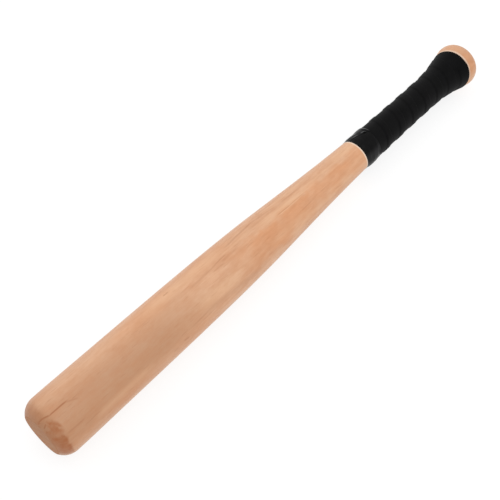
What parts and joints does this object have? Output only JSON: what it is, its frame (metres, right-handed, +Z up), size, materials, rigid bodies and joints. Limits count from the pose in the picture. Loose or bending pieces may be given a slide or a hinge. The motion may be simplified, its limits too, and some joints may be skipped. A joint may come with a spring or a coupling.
{
  "type": "wooden baseball bat",
  "caption": "Short turned wooden bat with a conical barrel, slim flared handle, rounded knob and a black wound tape grip held by a finishing tape.",
  "frame": {"origin": "on the floor, under the centre of the bat's box: the bat lies on its barrel and on the rim of its knob", "axes": "+X along the bat from the barrel end to the knob, +Z up; the bat's own axis drops 0.57 degrees towards the knob"},
  "size_m": [0.5402, 0.0528, 0.0529],
  "materials": {
    "lacquered_wood": "pale straight-grained wood under a clear satin lacquer",
    "grip_tape": "matt black foamed grip tape",
    "finishing_tape": "smooth black vinyl tape, slightly glossy"
  },
  "bodies": {
    "root": {"billet": "lacquered_wood", "grip_tape": "grip_tape", "finishing_tape": "finishing_tape"}
  },
  "joints": []
}
